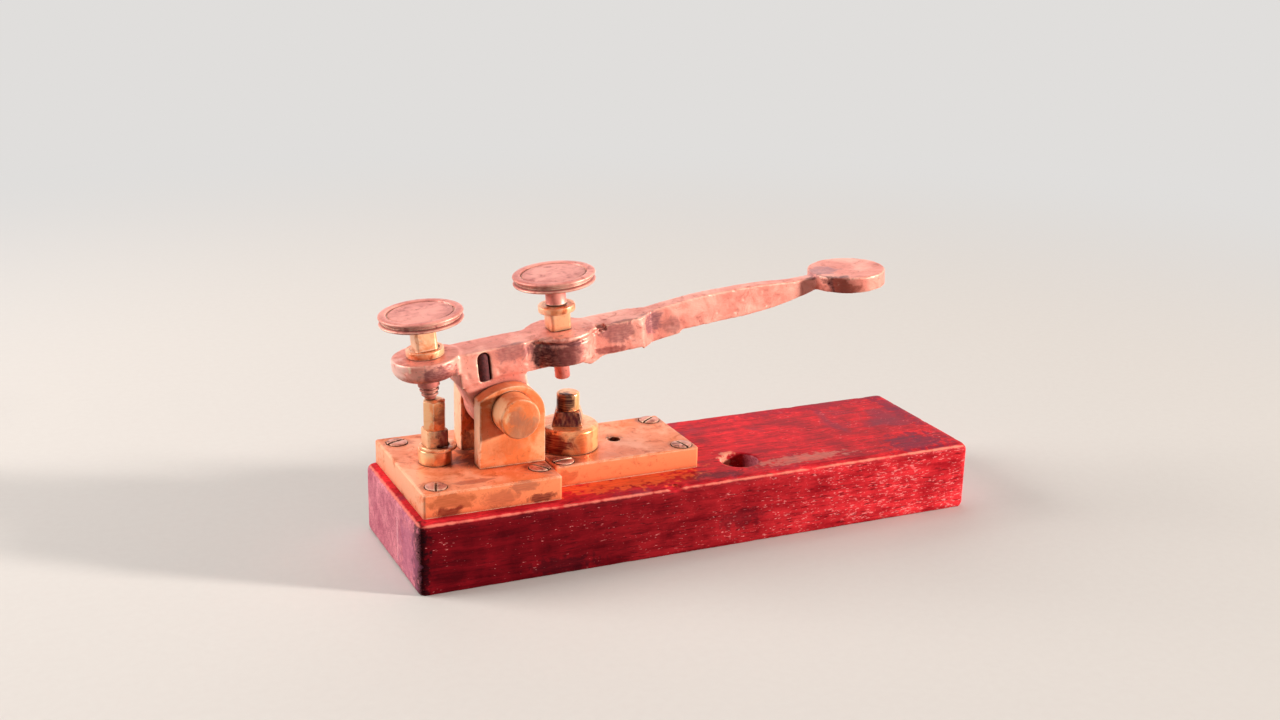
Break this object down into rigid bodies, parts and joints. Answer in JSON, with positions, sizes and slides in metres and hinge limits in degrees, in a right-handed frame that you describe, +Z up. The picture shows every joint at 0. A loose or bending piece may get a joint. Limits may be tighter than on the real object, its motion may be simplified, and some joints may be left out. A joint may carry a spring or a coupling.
{
  "type": "telegraph key",
  "caption": "Lever telegraph key: a long brass lever with a finger disc turns between ears on a wooden block, between a thumbscrew back stop and a contact anvil.",
  "frame": {"origin": "middle of the wooden block's underside, which rests on the table", "axes": "+X along the lever from the thumbscrews to the finger disc, +Y from the front edge to the back edge, +Z up"},
  "size_m": [0.1798, 0.052, 0.0817],
  "materials": {
    "block_wood": "worn varnish",
    "plate_brass": "filed, patinated",
    "ear_brass": "filed, patinated",
    "lever_brass": "cast and filed",
    "thumb_brass": "turned, dulled",
    "nut_brass": "filed",
    "post_brass": "turned",
    "screw_brass": "worn slots",
    "dark_iron": "rusted",
    "spring_steel": "drawn"
  },
  "bodies": {
    "base": {"base_block": "block_wood", "pivot_plate": "plate_brass", "contact_plate": "plate_brass", "pivot_plate_screws": "screw_brass", "contact_plate_screws": "screw_brass", "ear_screws": "dark_iron", "front_ear": "ear_brass", "back_ear": "ear_brass", "back_stop_collar": "post_brass", "back_stop_washer": "nut_brass", "back_stop_nut": "nut_brass", "back_stop_stud": "post_brass", "anvil_collar": "post_brass", "anvil_nut": "nut_brass", "anvil_stud": "post_brass", "return_spring": "spring_steel"},
    "lever_arm": {"lever": "lever_brass", "axle": "ear_brass", "hub_key": "dark_iron"},
    "rear_screw": {"rear_thumbscrew": "thumb_brass", "rear_screw_ferrule": "thumb_brass"},
    "front_screw": {"front_thumbscrew": "thumb_brass"},
    "rear_nut": {"rear_lock_nut": "nut_brass"},
    "front_nut": {"front_lock_nut": "nut_brass"}
  },
  "joints": [
    {"name": "lever_pivot", "type": "hinge", "parent": "base", "child": "lever_arm", "pos_m": [-0.0561, 0.0015, 0.0442], "axis": [0, 1, 0], "range_deg": [0, 11.9], "stiffness_Nm_per_rad": 0.1, "springref_deg": -34.38, "deforming": ["return_spring"]},
    {"name": "rear_thumbscrew_turn", "type": "hinge", "parent": "lever_arm", "child": "rear_screw", "pos_m": [-0.07601, 0.0015, 0.04225], "axis": [-0.0976, 0, 0.9952], "continuous": true},
    {"name": "front_thumbscrew_turn", "type": "hinge", "parent": "lever_arm", "child": "front_screw", "pos_m": [-0.03619, 0.0015, 0.04615], "axis": [-0.0976, 0, 0.9952], "continuous": true},
    {"name": "rear_lock_nut_turn", "type": "hinge", "parent": "lever_arm", "child": "rear_nut", "pos_m": [-0.07601, 0.0015, 0.04225], "axis": [-0.0976, 0, 0.9952], "continuous": true},
    {"name": "front_lock_nut_turn", "type": "hinge", "parent": "lever_arm", "child": "front_nut", "pos_m": [-0.03619, 0.0015, 0.04615], "axis": [-0.0976, 0, 0.9952], "continuous": true}
  ]
}
